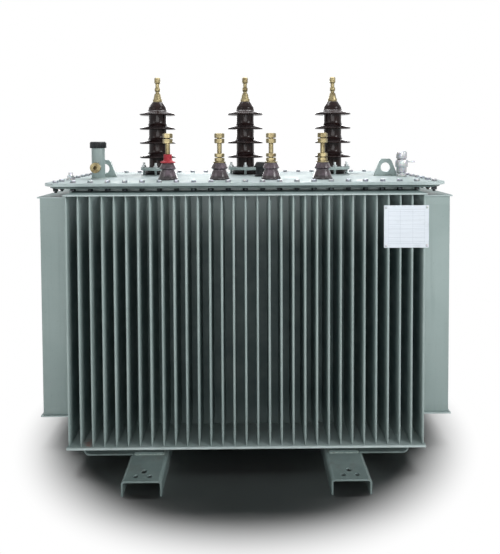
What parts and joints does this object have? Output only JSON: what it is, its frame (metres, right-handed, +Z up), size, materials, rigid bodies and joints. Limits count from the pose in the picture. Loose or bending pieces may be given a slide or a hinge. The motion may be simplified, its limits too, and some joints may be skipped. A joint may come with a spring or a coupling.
{
  "type": "power transformer",
  "caption": "Oil-filled distribution transformer with a corrugated fin tank on channel feet, a bolted lid, porcelain bushings, lifting lugs and oil fittings.",
  "frame": {"origin": "on the floor at the middle of the footprint", "axes": "+X along the long side, +Y from the low-voltage front to the back, +Z up"},
  "size_m": [1.526, 1.025, 1.405],
  "materials": {
    "paint": "satin grey-green paint",
    "hv_glaze": "glossy brown glaze",
    "lv_glaze": "glossy grey-brown glaze",
    "brass": "dull plated brass",
    "gasket": "matt",
    "red_plastic": "satin",
    "black_plastic": "satin",
    "zinc": "zinc plated",
    "plate": "satin"
  },
  "bodies": {
    "root": {"left_foot": "paint", "right_foot": "paint", "left_foot_pad": "paint", "right_foot_pad": "paint", "left_base_bracket": "paint", "right_base_bracket": "paint", "tank_body": "paint", "front_fin_wall": "paint", "back_fin_wall": "paint", "left_fin_wall": "paint", "right_fin_wall": "paint", "front_fin_plates": "paint", "back_fin_plates": "paint", "left_fin_plates": "paint", "right_fin_plates": "paint", "top_flange": "paint", "lid_gasket": "gasket", "lid": "paint", "left_lifting_lug": "paint", "right_lifting_lug": "paint", "hv_porcelain_1": "hv_glaze", "hv_porcelain_2": "hv_glaze", "hv_porcelain_3": "hv_glaze", "hv_clamp_1": "paint", "hv_clamp_2": "paint", "hv_clamp_3": "paint", "hv_terminal_1": "brass", "hv_terminal_2": "brass", "hv_terminal_3": "brass", "lv_porcelain_1": "lv_glaze", "lv_porcelain_2": "lv_glaze", "lv_porcelain_3": "lv_glaze", "lv_porcelain_4": "lv_glaze", "lv_terminal_1": "brass", "lv_terminal_2": "brass", "lv_terminal_3": "brass", "lv_terminal_4": "brass", "red_terminal_boot": "red_plastic", "filler_pipe": "paint", "filler_cap": "black_plastic", "filler_plug": "brass", "relief_valve": "zinc", "tap_changer": "black_plastic", "earth_bolt": "zinc", "rating_plate": "plate"}
  },
  "joints": []
}
